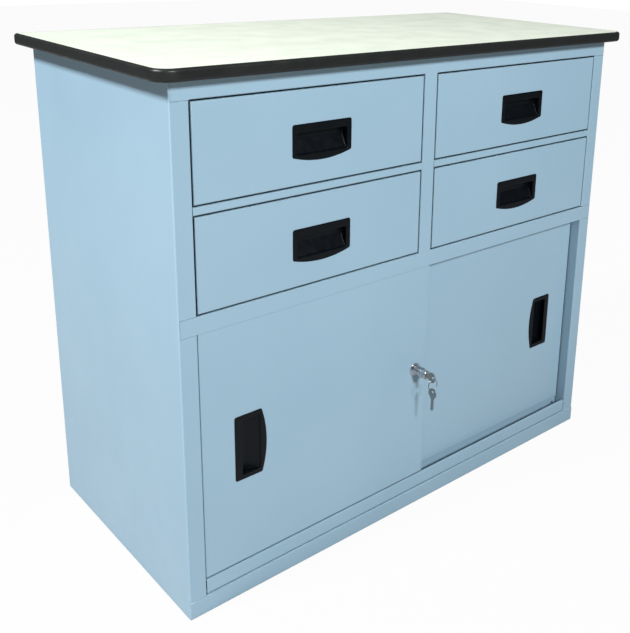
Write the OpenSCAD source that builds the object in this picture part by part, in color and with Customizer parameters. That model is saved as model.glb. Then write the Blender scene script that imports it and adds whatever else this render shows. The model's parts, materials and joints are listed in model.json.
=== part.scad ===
// Lockable medicine cabinet: steel carcass, laminated worktop, four drawers over two sliding doors.
// Millimetres, +Z up, front towards -Y, the floor at z = 0.

/* [Carcass] */
// Width across the side panels
cab_w = 1000; // [800:1:1300]
// Depth from the front face to the back flanges
cab_d = 480; // [440:1:650]
// Thickness of the folded steel sheet
sheet = 1.2; // [1:0.1:1.5]
// Outer radius of the folds that face the front
bend_r = 2.5; // [2:0.1:4]
// Width of the folded stile at each side
stile_w = 31; // [27:0.5:40]
// Depth of the folds behind the front frame
return_d = 46; // [45:1:52]
// Width of the flanges that carry the back panel
back_flange_w = 20; // [14:1:30]
// Height of the plinth
plinth_h = 33; // [26:1:60]
// Distance by which the plinth stands in front of the frame
plinth_proud = 1.2; // [0:0.1:3]
// Distance of the plinth's ends from the sides
plinth_inset = 1; // [0.5:0.1:2]
// Width of the folds around the plinth's foot
plinth_fold = 30; // [20:1:45]
// Width of the fold along the plinth's top
plinth_lip = 12; // [8:1:30]
// Width of the folds along the sides of the inner panels
panel_fold = 15; // [10:1:20]

/* [Front frame] */
// Height of the rail under the worktop
top_rail_h = 30; // [20:1:45]
// Height of the rail between the drawers and the doors
mid_rail_h = 29; // [26:1:45]
// Height of the thin rails between the drawers
drawer_rail_h = 13; // [8:1:25]
// Width of the mullion between the drawer banks
mullion_w = 30; // [20:1:50]
// Height of one drawer opening
drawer_open_h = 156; // [140:1:220]
// Height of the door opening above the track's lip
door_open_h = 436.5; // [380:0.5:560]
// Set-back of the track's lip from the front face
lip_back = 1.5; // [1:0.1:1.6]
// Height of the track's lip above the plinth
lip_h = 27.5; // [24:0.5:32]
// Depth of the folds along the lip
lip_fold = 4; // [2.5:0.1:4.5]
// Gap between the lip's ends and the stiles
lip_end_gap = 1.5; // [0:0.1:3]
// Gap of the seams between the stiles and the full-width rails
seam = 0.6; // [0.2:0.1:0.9]

/* [Worktop] */
// Thickness of the worktop board
board_t = 18; // [12:1:30]
// Thickness of the laminate skin
laminate_t = 1; // [0.6:0.1:2]
// Overhang at the front
over_front = 28; // [15:1:40]
// Overhang at each side
over_side = 29; // [15:1:40]
// Overhang at the back
over_back = 12; // [0:1:30]
// Radius of the worktop's front corners
top_r = 30; // [20:1:60]
// Radius of the worktop's rear corners
top_rear_r = 10; // [10:1:20]
// Width of the moulded edge
edge_t = 6; // [5:0.5:9]
// Rounding of the moulded edge
edge_r = 5; // [3:0.5:5]
// Shank radius of the worktop screws
screw_r = 2; // [1.5:0.1:3]
// Length of the worktop screws
screw_len = 14; // [8:1:16]
// Distance of the outer worktop screws from the side panels
screw_inset = 150; // [80:1:250]
// Head height of the worktop screws
screw_head_h = 2; // [1:0.1:4]
// Head radius of the worktop screws
screw_head_r = 4; // [3.2:0.1:7]

/* [Drawers] */
// Gap around a drawer front
front_gap = 2.5; // [1.5:0.1:4]
// Depth of the folded drawer fronts
front_d = 16; // [15:0.5:22]
// Width on which a tray seats on the folded lips of its front
front_seat = 6; // [3:0.5:10]
// Height of a drawer's tray
tray_h = 125; // [80:1:130]
// Height of the tray above the foot of its opening
tray_lift = 12; // [6:1:14]
// Distance of a tray's rear end from the rear ends of its slides
tray_back = 2; // [0:0.5:20]
// Travel of a drawer
drawer_travel = 380; // [200:1:395]

/* [Drawer slides] */
// Thickness of a slide, side panel to tray
slide_t = 12.5; // [11:0.1:16]
// Height of a slide
slide_h = 45; // [35:1:60]
// Length of a slide
slide_len = 420; // [415:1:425]
// Length by which a slide's middle member exceeds the travel
slide_lap = 20; // [10:1:25]
// Length on which a slide's rear end seats on its post
slide_seat = 6.4; // [4:0.1:10]
// Steel of the slide members
slide_sheet = 1.5; // [1:0.1:1.8]
// Running clearance between slide members
slide_play = 0.4; // [0.3:0.05:0.6]

/* [Doors] */
// Thickness of a sliding door
door_t = 16; // [15:0.5:16]
// Steel of the doors
door_sheet = 1; // [0.8:0.1:1.2]
// Width of the folded lips at the back of a door
door_lip = 11; // [6:0.5:14]
// Set-back of the front door behind the front face
door_back = 3.5; // [3.3:0.1:4]
// Gap between the two doors
door_gap = 2.5; // [2.4:0.1:3]
// Gap between a door and the stile
door_side_gap = 2; // [1:0.1:4]
// Gap between a door's lower edge and the track's lip
door_foot_gap = 1; // [0.5:0.1:2]
// Width of the overlap of the two doors
door_overlap = 48; // [40:1:70]
// Distance of the front door's meeting edge from the middle
meet_x = 17.5; // [0:0.5:30]
// Depth of the doors in the top track
door_lap = 11; // [6:0.5:12]

/* [Door rollers] */
// Radius of a roller over its flanges
roller_r = 8.5; // [8:0.1:9]
// Depth of the roller's groove
groove_d = 2.5; // [1.5:0.1:3]
// Width of a roller
roller_w = 8; // [6:0.5:8]
// Radius of a roller's axle
axle_r = 2; // [1.5:0.1:3]
// Running clearance of a roller on its axle
axle_play = 0.05; // [0.02:0.01:0.09]
// Distance of a roller's axle from the door's edge
roller_inset = 12; // [10.5:0.5:40]
// Width of the ribs that the rollers run on
rib_w = 2; // [1.5:0.1:2.4]
// Height of the ribs
rib_h = 4; // [3.5:0.1:5]

/* [Pull handles] */
// Length of a handle's rim
pull_l = 117; // [100:1:130]
// Width of the rim without its curved side
pull_w = 53; // [46:1:60]
// Rise of the rim's curved side
pull_bulge = 8; // [4:0.5:12]
// Thickness of the rim in front of the sheet
pull_rim = 1.6; // [1:0.1:1.8]
// Width of the rim around the pocket
pull_border = 9; // [6:0.5:12]
// Depth of the finger pocket behind the sheet
pull_pocket = 13; // [9:0.5:13.5]
// Wall of the finger pocket
pull_wall = 1.6; // [1:0.1:2.5]
// Depth of the grip that hangs over the pocket
pull_grip = 9; // [5:0.5:12]
// Left drawer handles: distance of the middle from the left side
pull_left_x = 264; // [200:1:320]
// Right drawer handles: distance of the middle from the right side
pull_right_x = 253; // [200:1:320]
// Handle middle above the middle of a drawer opening
pull_rise = -4.5; // [-20:0.5:20]
// Door handles: distance of the middle from the cabinet's side
pull_door_x = 119; // [90:1:160]
// Door handles: height of the middle
pull_door_z = 275; // [200:1:350]

/* [Lock] */
// Distance of the lock from the front door's meeting edge
lock_inset = 29.5; // [20:0.5:36]
// Height of the lock
lock_z = 293; // [150:1:420]
// Radius of the lock's barrel
barrel_r = 9.4; // [9:0.1:12]
// Length of the barrel in front of the door
barrel_out = 22; // [14:0.5:30]
// Length of the barrel behind the door's face
barrel_in = 13.2; // [13:0.1:15]
// Radius of the barrel's collar
collar_r = 12; // [11:0.5:16]
// Thickness of the collar
collar_t = 2.5; // [1:0.1:4]
// Radius of the push plunger
plunger_r = 8.2; // [7.5:0.1:8.4]
// Travel of the push plunger
plunger_travel = 12; // [8:0.5:12]
// Radius of the locking pin
pin_r = 4; // [3:0.1:5]
// Radius of the key plug
plug_r = 6; // [5.5:0.1:7]
// Length of the key plug
plug_len = 26; // [20:0.5:28]
// Running clearance in the lock
lock_play = 0.05; // [0.02:0.01:0.09]
// Width of the lock nut over its corners
nut_d = 26; // [23:0.5:30]
// Thickness of the lock nut
nut_t = 4; // [2:0.5:6]
// Wire radius of the return spring
spring_wire_r = 0.5; // [0.4:0.05:0.7]

/* [Keys] */
// Thickness of a key
key_t = 1.8; // [1.4:0.1:2.2]
// Width of a key's blade
key_blade_w = 7.5; // [6:0.1:8]
// Length of a key's blade
key_blade_len = 24; // [18:0.5:26]
// Length of a key's neck in front of the plug
key_neck = 3; // [2:0.5:8]
// Radius of a key's bow
bow_r = 10; // [9:0.5:14]
// Radius of the hole in a key's bow
bow_hole_r = 3.5; // [2.5:0.1:4]
// Middle radius of the key ring
ring_r = 11; // [9:0.5:16]
// Wire radius of the key ring
ring_wire_r = 0.9; // [0.6:0.1:1.2]
// Clearance between the ring and a key's hole
ring_play = 0.3; // [0.2:0.05:0.5]

/* [Cupboard] */
// Height of the shelf's upper face
shelf_z = 285; // [150:1:420]
// Depth of the folds along the shelf
shelf_fold = 20; // [10:1:40]
// Gap between the shelf and the side panels
shelf_gap = 1; // [0.5:0.1:3]
// Width of a shelf clip
clip_w = 10; // [6:0.5:20]
// Depth of a shelf clip
clip_d = 12; // [8:0.5:25]
// Height of a shelf clip
clip_h = 6; // [4:0.5:12]
// Distance of the shelf clips from the front frame and from the back panel
clip_inset = 60; // [30:1:120]

/* [Hidden] */

// Colours
powder_blue = [0.62, 0.74, 0.83];
plastic_black = [0.06, 0.06, 0.07];
laminate_cream = [0.93, 0.97, 0.91];
board_brown = [0.72, 0.60, 0.44];
zinc = [0.75, 0.76, 0.78];
chrome = [0.82, 0.83, 0.85];
nylon_white = [0.90, 0.90, 0.87];

// Heights of the front frame, from the floor up
lip_top = plinth_h + lip_h;
mid_rail_z = lip_top + door_open_h;
lower_open_z = mid_rail_z + mid_rail_h;
drawer_rail_z = lower_open_z + drawer_open_h;
upper_open_z = drawer_rail_z + drawer_rail_h;
top_rail_z = upper_open_z + drawer_open_h;
carcass_h = top_rail_z + top_rail_h;

// Inner faces of the frame
open_x0 = stile_w;
open_x1 = cab_w - stile_w;
mullion_x0 = (cab_w - mullion_w) / 2;
mullion_x1 = (cab_w + mullion_w) / 2;
back_y = cab_d - 2 * sheet;

// Door planes and edges
front_door_y = door_back;
rear_door_y = door_back + door_t + door_gap;
door_z0 = lip_top + door_foot_gap;
door_z1 = mid_rail_z + door_lap;
front_door_x0 = open_x0 + door_side_gap;
front_door_x1 = cab_w / 2 + meet_x;
rear_door_x0 = front_door_x1 - door_overlap;
rear_door_x1 = open_x1 - door_side_gap;

// Tracks and rollers
floor_rise = 5;
floor_z = plinth_h + floor_rise;
skirt_inset = 3;
skirt_play = 0.4;
skirt_foot = 3;
rear_skirt_inset = skirt_inset + sheet + roller_w + 2 * skirt_play;
rolling_r = roller_r - groove_d;
rib_play = 0.05;
axle_z = floor_z + sheet + rib_h + rib_play + rolling_r;
skirt_z0 = axle_z - axle_r - skirt_foot;
rib_y_inset = skirt_inset + sheet + skirt_play + roller_w / 2;
groove_w = rib_w + 0.8;
axle_head_r = axle_r + 1.5;
axle_head_t = 1;
track_head = 5;
track_web_z = door_z1 + track_head;
track_fin = 1;

// Lock
lock_x = front_door_x1 - lock_inset;
barrel_y0 = front_door_y - barrel_out;
barrel_y1 = front_door_y + barrel_in;
barrel_wall = 1.5;
plunger_y0 = barrel_y0 - plunger_travel - 0.5;
plunger_y1 = barrel_y1 - barrel_wall - plunger_travel - 0.2;
pin_y1 = front_door_y + door_t - 0.5;
pin_hole_r = pin_r + 1;
keyway_play = 0.2;
spring_turns = 5;
spring_steps = 16;
spring_sides = 5;
spring_r = (pin_r + plunger_r) / 2;

// Keys
bow_y = plunger_y0 - key_neck - bow_r + 1.5;
bow_hole_y = bow_y - bow_r + bow_hole_r + 2.5;
ring_drop = bow_hole_r - ring_wire_r - ring_play;
ring_top_z = lock_z - ring_drop;
spare_hole_z = ring_top_z - 2 * ring_r - ring_drop;
key_end_y = bow_hole_y - bow_r;

// The origin is the middle of the footprint of the whole object
top_back_y = cab_d + over_back;
origin_y = (key_end_y + top_back_y) / 2;

module place() {
    translate([-cab_w / 2, -origin_y, 0]) children();
}

// A box given by its lowest and highest corners
module block(low, high) {
    translate(low) cube(high - low);
}

// A rod along +Y from a point
module rod_y(from, r, len, sides = 64) {
    translate(from) rotate([-90, 0, 0]) cylinder(r = r, h = len, $fn = sides);
}

module mirror_side(on) {
    if (on) translate([cab_w, 0, 0]) mirror([1, 0, 0]) children();
    else children();
}

// Quarter of a folded corner in plan, its outer corner at the local origin
module fold_quarter(r) {
    intersection() {
        square([r, r]);
        translate([r, r]) difference() {
            circle(r = r, $fn = 48);
            circle(r = r - sheet, $fn = 48);
        }
    }
}

// Section of a folded strip: its face along the first axis, and a return of the given depth behind each end
module strip_section(len, low_return, high_return) {
    low_fold = low_return > 0 ? bend_r : 0;
    high_fold = high_return > 0 ? bend_r : 0;
    translate([low_fold, 0]) square([len - low_fold - high_fold, sheet]);
    if (low_return > 0) fold_and_return(low_return);
    if (high_return > 0) translate([len, 0]) mirror([1, 0]) fold_and_return(high_return);
}

module fold_and_return(depth) {
    fold_quarter(bend_r);
    translate([0, bend_r]) square([sheet, depth - bend_r]);
}

// Horizontal folded strip in the front plane, from x[0] to x[1]
module strip_x(x, z0, z1, low_return, high_return) {
    translate([x[1], 0, z0]) rotate([0, -90, 0])
        linear_extrude(x[1] - x[0]) strip_section(z1 - z0, low_return, high_return);
}

// Full-width rail: folded at the openings, with a flat face where it crosses the stiles and the mullion
module face_rail(z0, z1, low_return, high_return) {
    for (x = [[open_x0, mullion_x0], [mullion_x1, open_x1]]) strip_x(x, z0, z1, low_return, high_return);
    for (x = [[bend_r + 0.3, open_x0], [mullion_x0, mullion_x1], [open_x1, cab_w - bend_r - 0.3]])
        block([x[0], 0, z0], [x[1], sheet, z1]);
    if (low_return > 0) block([mullion_x0, sheet, z0], [mullion_x1, low_return, z0 + sheet]);
    if (high_return > 0) block([mullion_x0, sheet, z1 - sheet], [mullion_x1, high_return, z1]);
}

// Plan outline of the folded left side: back flange, side, stile and its return
module side_outline() {
    translate([0, bend_r]) square([sheet, cab_d - bend_r]);
    translate([0, cab_d - sheet]) square([back_flange_w, sheet]);
    fold_quarter(bend_r);
    translate([bend_r, 0]) strip_section(stile_w - bend_r, 0, return_d);
}

// The stile is notched where the full-width rails and the plinth cross it
module side_panel() {
    notch_x0 = bend_r;
    notch_y1 = sheet + 0.2;
    difference() {
        linear_extrude(carcass_h) side_outline();
        block([notch_x0, -1, -1], [stile_w + 1, return_d + 1, plinth_h]);
        for (z = [[mid_rail_z - seam, lower_open_z + seam], [top_rail_z - seam, carcass_h + 1]]) {
            block([notch_x0, -1, z[0]], [stile_w - sheet, notch_y1, z[1]]);
            block([stile_w - bend_r, -1, z[0]], [stile_w + 1, bend_r, z[1]]);
        }
    }
    block([sheet, return_d + 1, carcass_h - sheet], [stile_w, cab_d - sheet, carcass_h]);
}

module left_side_panel() {
    color(powder_blue) place() side_panel();
}

module right_side_panel() {
    color(powder_blue) place() mirror_side(true) side_panel();
}

module back_panel() {
    color(powder_blue) place() {
        block([sheet, back_y, sheet], [cab_w - sheet, back_y + sheet, carcass_h - sheet]);
        difference() {
            block([stile_w, back_y - return_d, carcass_h - sheet], [cab_w - stile_w, back_y + sheet, carcass_h]);
            screw_holes();
        }
    }
}

module bottom_panel() {
    color(powder_blue) place() {
        block([sheet, return_d, floor_z], [cab_w - sheet, back_y, floor_z + sheet]);
        for (x = [sheet, cab_w - 2 * sheet])
            block([x, return_d, floor_z - panel_fold], [x + sheet, back_y - plinth_fold - sheet, floor_z]);
    }
}

// The face stands in front of the stiles and covers their feet; its folds end between the sides
module plinth() {
    x0 = bend_r + 0.2;
    inner_x0 = 2 * sheet + 0.2;
    inner_x1 = cab_w - inner_x0;
    color(powder_blue) place() {
        difference() {
            translate([0, -plinth_proud, 0])
                strip_x([plinth_inset, cab_w - plinth_inset], 0, plinth_h, plinth_fold, plinth_lip);
            for (x = [0, cab_w - x0]) block([x, 0, -1], [x + x0, plinth_fold, plinth_h + 1]);
        }
        difference() {
            block([inner_x0, bend_r, 0], [inner_x1, back_y, sheet]);
            block([inner_x0 + plinth_fold, plinth_fold, -1], [inner_x1 - plinth_fold, back_y - plinth_fold, sheet + 1]);
        }
        block([inner_x0, back_y - plinth_fold, sheet], [inner_x1, back_y - plinth_fold + sheet, floor_z]);
    }
}

// Floor of the track with its folded front lip and the two ribs that the rollers run on
module bottom_track() {
    color(powder_blue) place() {
        translate([0, lip_back, 0])
            strip_x([open_x0 + lip_end_gap, open_x1 - lip_end_gap], plinth_h, lip_top, lip_fold, lip_fold);
        block([open_x0, lip_back + sheet, floor_z], [open_x1, return_d, floor_z + sheet]);
        for (y = [front_door_y, rear_door_y])
            block([open_x0, y + rib_y_inset - rib_w / 2, floor_z + sheet],
                  [open_x1, y + rib_y_inset + rib_w / 2, floor_z + sheet + rib_h]);
    }
}

// Double channel behind the mid rail: the doors' upper edges run between its three fins
module top_track() {
    fins = [sheet + 0.2, rear_door_y - (door_gap + track_fin) / 2, rear_door_y + door_t + 1];
    color(powder_blue) place() {
        block([open_x0, fins[0], track_web_z], [open_x1, return_d, track_web_z + sheet]);
        for (y = fins)
            block([open_x0, y, mid_rail_z + 1], [open_x1, y + track_fin, track_web_z]);
    }
}

module top_rail() {
    color(powder_blue) place() difference() {
        face_rail(top_rail_z, carcass_h, return_d, return_d);
        screw_holes();
    }
}

module mid_rail() {
    color(powder_blue) place() face_rail(mid_rail_z, lower_open_z, 0, return_d);
}

module centre_mullion() {
    color(powder_blue) place() translate([mullion_x0, 0, lower_open_z])
        linear_extrude(top_rail_z - lower_open_z) strip_section(mullion_w, return_d, return_d);
}

module drawer_rails() {
    color(powder_blue) place()
        for (x = [[open_x0, mullion_x0], [mullion_x1, open_x1]])
            strip_x(x, drawer_rail_z, upper_open_z, return_d, return_d);
}

// Hollow panel between the drawer banks, which carries their inner slides
module centre_partition() {
    z0 = track_web_z + 2 * sheet;
    color(powder_blue) place() difference() {
        block([mullion_x0, return_d, z0], [mullion_x1, back_y, carcass_h - sheet]);
        block([mullion_x0 + sheet, return_d + sheet, z0 - 1], [mullion_x1 - sheet, back_y - sheet, carcass_h]);
    }
}

// Folded posts at the back that carry the rear ends of the outer slides
module rear_posts() {
    y0 = slide_y0 + slide_len - slide_seat;
    z0 = track_web_z + 2 * sheet;
    z1 = carcass_h - sheet;
    color(powder_blue) place()
        for (side = [false, true]) mirror_side(side) {
            block([stile_w - sheet, y0, z0], [stile_w, back_y, z1]);
            block([sheet, y0, z0], [stile_w - sheet, y0 + sheet, z1]);
            block([sheet, back_y - sheet, z0], [stile_w - sheet, back_y, z1]);
        }
}

module dust_panel() {
    z0 = track_web_z + sheet;
    y0 = return_d - 10;
    color(powder_blue) place() {
        block([open_x0, y0, z0], [open_x1, return_d + 1, z0 + sheet]);
        block([sheet, return_d + 1, z0], [cab_w - sheet, back_y, z0 + sheet]);
        for (x = [sheet, cab_w - 2 * sheet])
            block([x, return_d + 1, z0 - panel_fold], [x + sheet, back_y, z0]);
    }
}

module shelf() {
    x0 = sheet + shelf_gap;
    y0 = return_d + 14;
    y1 = back_y - 2;
    color(powder_blue) place() {
        block([x0, y0, shelf_z - sheet], [cab_w - x0, y1, shelf_z]);
        for (y = [y0, y1 - sheet])
            block([x0, y, shelf_z - shelf_fold], [cab_w - x0, y + sheet, shelf_z - sheet]);
    }
}

// Four clips on the side panels, under the shelf
module shelf_clips() {
    z0 = shelf_z - sheet - clip_h;
    color(zinc) place()
        for (side = [false, true], y = [return_d + clip_inset, back_y - clip_inset - clip_d]) mirror_side(side)
            translate([sheet, y, z0]) cube([clip_w, clip_d, clip_h]);
}

// Rounded rectangle in plan, from its lowest to its highest corner; far_r is the radius at the higher +Y side
module rounded(low, high, r, far_r) {
    size = high - low;
    translate([low[0] + r, low[1]]) square([size[0] - 2 * r, size[1]]);
    translate([low[0] + far_r, low[1] + r]) square([size[0] - 2 * far_r, size[1] - r]);
    translate([low[0], low[1] + r]) square([size[0], size[1] - r - far_r]);
    for (x = [low[0] + r, high[0] - r]) translate([x, low[1] + r]) circle(r = r, $fn = 96);
    for (x = [low[0] + far_r, high[0] - far_r]) translate([x, high[1] - far_r]) circle(r = far_r, $fn = 96);
}

board_low = [-over_side + edge_t, -over_front + edge_t];
board_high = [cab_w + over_side - edge_t, top_back_y - edge_t];
board_r = top_r - edge_t;
board_rear_r = top_rear_r - edge_t;

module worktop_board() {
    color(board_brown) place() difference() {
        translate([0, 0, carcass_h]) linear_extrude(board_t) rounded(board_low, board_high, board_r, board_rear_r);
        screw_holes();
    }
}

module worktop_laminate() {
    color(laminate_cream) place() translate([0, 0, carcass_h + board_t])
        linear_extrude(laminate_t) rounded(board_low, board_high, board_r, board_rear_r);
}

// Section of the moulded edge, its flat back at x = 0
module edge_section() {
    h = board_t + laminate_t;
    square([edge_t - edge_r, h]);
    translate([0, edge_r]) square([edge_t, h - 2 * edge_r]);
    for (z = [edge_r, h - edge_r]) translate([edge_t - edge_r, z]) intersection() {
        circle(r = edge_r, $fn = 48);
        translate([-(edge_t - edge_r), -edge_r]) square([edge_t, 2 * edge_r]);
    }
}

// One side of the moulded edge along +Y, and the board's corner of radius r at its end
module edge_run(len, r) {
    rotate([90, 0, 0]) mirror([0, 0, 1]) linear_extrude(len) edge_section();
    translate([-r, len, 0]) rotate_extrude(angle = 90, $fn = 96) translate([r, 0]) edge_section();
}

module worktop_edge() {
    x = [board_low[0], board_high[0]];
    y = [board_low[1], board_high[1]];
    side_len = y[1] - y[0] - board_r - board_rear_r;
    color(plastic_black) place() translate([0, 0, carcass_h]) {
        translate([x[1], y[0] + board_r, 0]) edge_run(side_len, board_rear_r);
        translate([x[1] - board_rear_r, y[1], 0]) rotate([0, 0, 90])
            edge_run(x[1] - x[0] - 2 * board_rear_r, board_rear_r);
        translate([x[0], y[1] - board_rear_r, 0]) rotate([0, 0, 180]) edge_run(side_len, board_r);
        translate([x[0] + board_r, y[0], 0]) rotate([0, 0, 270]) edge_run(x[1] - x[0] - 2 * board_r, board_r);
    }
}

// Screws up through the front rail and the back panel's fold
screw_points = [
    for (x = [screw_inset, cab_w / 2, cab_w - screw_inset], y = [return_d / 2, back_y - return_d / 2]) [x, y]
];
screw_seat_z = carcass_h - sheet;

module screw_holes() {
    for (p = screw_points)
        translate([p[0], p[1], screw_seat_z - 1]) cylinder(r = screw_r, h = screw_len + 1, $fn = 32);
}

module worktop_screws() {
    color(zinc) place()
        for (p = screw_points) {
            translate([p[0], p[1], screw_seat_z - screw_head_h]) cylinder(r = screw_head_r, h = screw_head_h, $fn = 32);
            translate([p[0], p[1], screw_seat_z]) cylinder(r = screw_r, h = screw_len, $fn = 32);
        }
}

// Drawers: side 0 is left and 1 is right, row 0 is the upper one and 1 the lower one
function open_x(side) = side == 0 ? open_x0 : mullion_x1;
function open_w() = mullion_x0 - open_x0;
function open_z(row) = row == 0 ? upper_open_z : lower_open_z;
function slide_z(row) = open_z(row) + tray_lift + tray_h / 2;
slide_y0 = front_d + 2;

// One channel of a slide, its back at x = 0 and its flanges towards +X
module channel(h, d, len) {
    block([0, 0, -h / 2], [slide_sheet, len, h / 2]);
    for (z = [-h / 2, h / 2 - slide_sheet])
        block([slide_sheet, 0, z], [d, len, z + slide_sheet]);
}

// A slide member on both sides of a drawer; turned ones face away from the frame
module slide_pair(side, row, x, h, d, y0, len, turned) {
    for (far = [0, 1])
        translate([open_x(side) + far * open_w(), y0, slide_z(row)]) mirror([far, 0, 0])
            translate([turned ? x + d : x, 0, 0]) mirror([turned ? 1 : 0, 0, 0]) channel(h, d, len);
}

middle_h = slide_h - 2 * slide_sheet - 2 * slide_play;
inner_h = middle_h - 2 * slide_sheet - 2 * slide_play;
middle_x = slide_sheet + slide_play;
inner_x = middle_x + slide_sheet + slide_play;
middle_len = drawer_travel + slide_lap;

module fixed_slides() {
    color(zinc) place()
        for (side = [0, 1], row = [0, 1])
            slide_pair(side, row, 0, slide_h, slide_t - slide_sheet - slide_play, slide_y0, slide_len, false);
}

module slide_middle(side, row) {
    color(zinc) place()
        slide_pair(side, row, middle_x, middle_h, slide_t - middle_x - slide_sheet - slide_play,
                   slide_y0, middle_len, false);
}

module slide_inner(side, row) {
    color(zinc) place()
        slide_pair(side, row, inner_x, inner_h, slide_t - inner_x, slide_y0, middle_len, true);
}

// Outline of a handle's rim: straight on the +Y side, curved on the -Y side
module pull_outline() {
    chord = pull_l - 8;
    r = (chord * chord / 4 + pull_bulge * pull_bulge) / (2 * pull_bulge);
    rounded([-pull_l / 2, -pull_w / 2], [pull_l / 2, pull_w / 2], 4, 4);
    intersection() {
        translate([0, -pull_w / 2 - pull_bulge + r]) circle(r = r, $fn = 360);
        translate([-chord / 2, -pull_w / 2 - pull_bulge - 1]) square([chord, pull_bulge + 2]);
    }
}

// Pocket of a handle in plan, grown by a margin
module pull_pocket_outline(grow) {
    w = pull_l - 2 * pull_border;
    h = pull_w - pull_border;
    translate([-w / 2 - grow, -h / 2 - grow]) square([w + 2 * grow, h + 2 * grow]);
}

// A pull handle in the front plane, its middle at the local origin, the rim towards -Y
module pull_handle() {
    w = pull_l - 2 * pull_border;
    h = pull_w - pull_border;
    rotate([90, 0, 0]) {
        difference() {
            linear_extrude(pull_rim) pull_outline();
            translate([0, 0, -1]) linear_extrude(pull_rim + 2)
                translate([-w / 2, -h / 2]) square([w, h - pull_grip]);
        }
        difference() {
            translate([0, 0, -pull_pocket]) linear_extrude(pull_pocket) pull_pocket_outline(pull_wall);
            translate([0, 0, -pull_pocket + pull_wall]) linear_extrude(pull_pocket) pull_pocket_outline(0);
        }
    }
}

// Cut-out for a handle's pocket in a sheet
module pull_cutout(depth) {
    rotate([90, 0, 0]) translate([0, 0, -depth]) linear_extrude(depth + 1) pull_pocket_outline(pull_wall + 0.3);
}

function pull_x(side) = side == 0 ? pull_left_x : cab_w - pull_right_x;
function pull_z(row) = open_z(row) + drawer_open_h / 2 + pull_rise;

// Rectangle with rounded corners on the side of its low second coordinate
module half_rounded(low, high, r) {
    translate([low[0] + r, low[1]]) square([high[0] - low[0] - 2 * r, high[1] - low[1]]);
    translate([low[0], low[1] + r]) square([high[0] - low[0], high[1] - low[1] - r]);
    for (x = [low[0] + r, high[0] - r]) translate([x, low[1] + r]) circle(r = r, $fn = 48);
}

// A block whose four front edges are folds of radius r
module folded_block(low, high, r) {
    intersection() {
        translate([0, 0, low[2]]) linear_extrude(high[2] - low[2])
            half_rounded([low[0], low[1]], [high[0], high[1]], r);
        translate([high[0], 0, 0]) rotate([0, -90, 0]) linear_extrude(high[0] - low[0])
            half_rounded([low[2], low[1]], [high[2], high[1]], r);
    }
}

// Shallow pan of folded sheet with a narrow lip around its open back
module pan(low, high, t, lip) {
    difference() {
        folded_block(low, high, bend_r);
        folded_block([low[0] + t, low[1] + t, low[2] + t], [high[0] - t, high[1] - t, high[2] - t], bend_r - t);
        block([low[0] + lip, high[1] - t - 1, low[2] + lip], [high[0] - lip, high[1] + 1, high[2] - lip]);
    }
}

module drawer_front(side, row) {
    color(powder_blue) place() difference() {
        pan([open_x(side) + front_gap, 0, open_z(row) + front_gap],
            [open_x(side) + open_w() - front_gap, front_d, open_z(row) + drawer_open_h - front_gap],
            sheet, max(slide_t, tray_lift) - front_gap + front_seat);
        translate([pull_x(side), 0, pull_z(row)]) pull_cutout(sheet + 1);
    }
}

module drawer_tray(side, row) {
    low = [open_x(side) + slide_t, front_d, open_z(row) + tray_lift];
    high = [open_x(side) + open_w() - slide_t, slide_y0 + slide_len - tray_back, open_z(row) + tray_lift + tray_h];
    color(powder_blue) place() difference() {
        block(low, high);
        block([low[0] + sheet, low[1] + sheet, low[2] + sheet], [high[0] - sheet, high[1] - sheet, high[2] + 1]);
    }
}

module drawer_handle(side, row) {
    color(plastic_black) place() translate([pull_x(side), 0, pull_z(row)]) pull_handle();
}

// A door: folded pan with two skirts below it that hold the rollers
module door_panel(x0, x1, y, handle_x) {
    difference() {
        union() {
            pan([x0, y, door_z0], [x1, y + door_t, door_z1], door_sheet, door_lip);
            for (inset = [skirt_inset, rear_skirt_inset])
                block([x0, y + inset, skirt_z0], [x1, y + inset + sheet, door_z0]);
        }
        for (x = [x0 + roller_inset, x1 - roller_inset])
            rod_y([x, y, axle_z], axle_r, door_t, 32);
        translate([handle_x, y, pull_door_z]) rotate([0, 90, 0]) pull_cutout(door_sheet + 1);
    }
}

module left_door_panel() {
    color(powder_blue) place() difference() {
        door_panel(front_door_x0, front_door_x1, front_door_y, pull_door_x);
        rod_y([lock_x, front_door_y - collar_t, lock_z], barrel_r, collar_t + barrel_in);
    }
}

module right_door_panel() {
    color(powder_blue) place() difference() {
        door_panel(rear_door_x0, rear_door_x1, rear_door_y, cab_w - pull_door_x);
        rod_y([lock_x, rear_door_y - door_gap, lock_z], pin_hole_r, door_gap + 2 * door_sheet);
    }
}

// The curved side of each door handle faces the other door
module left_door_handle() {
    color(plastic_black) place() translate([pull_door_x, front_door_y, pull_door_z]) rotate([0, -90, 0]) pull_handle();
}

module right_door_handle() {
    color(plastic_black) place() translate([cab_w - pull_door_x, rear_door_y, pull_door_z])
        rotate([0, 90, 0]) pull_handle();
}

// Grooved roller on its axle, turning about Y
module roller(x, door_y) {
    y0 = door_y + rib_y_inset - roller_w / 2;
    color(nylon_white) place() difference() {
        rod_y([x, y0, axle_z], roller_r, roller_w);
        difference() {
            rod_y([x, y0 + (roller_w - groove_w) / 2, axle_z], roller_r + 1, groove_w);
            rod_y([x, y0 - 1, axle_z], rolling_r, roller_w + 2);
        }
        rod_y([x, y0 - 1, axle_z], axle_r + axle_play, roller_w + 2, 48);
    }
}

module door_axles(x0, x1, door_y) {
    y0 = door_y + skirt_inset;
    y1 = door_y + rear_skirt_inset + sheet;
    color(zinc) place()
        for (x = [x0 + roller_inset, x1 - roller_inset]) {
            rod_y([x, y0, axle_z], axle_r, y1 - y0, 32);
            rod_y([x, y0 - axle_head_t, axle_z], axle_head_r, axle_head_t, 32);
        }
}

module left_door_roller_a() {
    roller(front_door_x0 + roller_inset, front_door_y);
}

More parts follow.
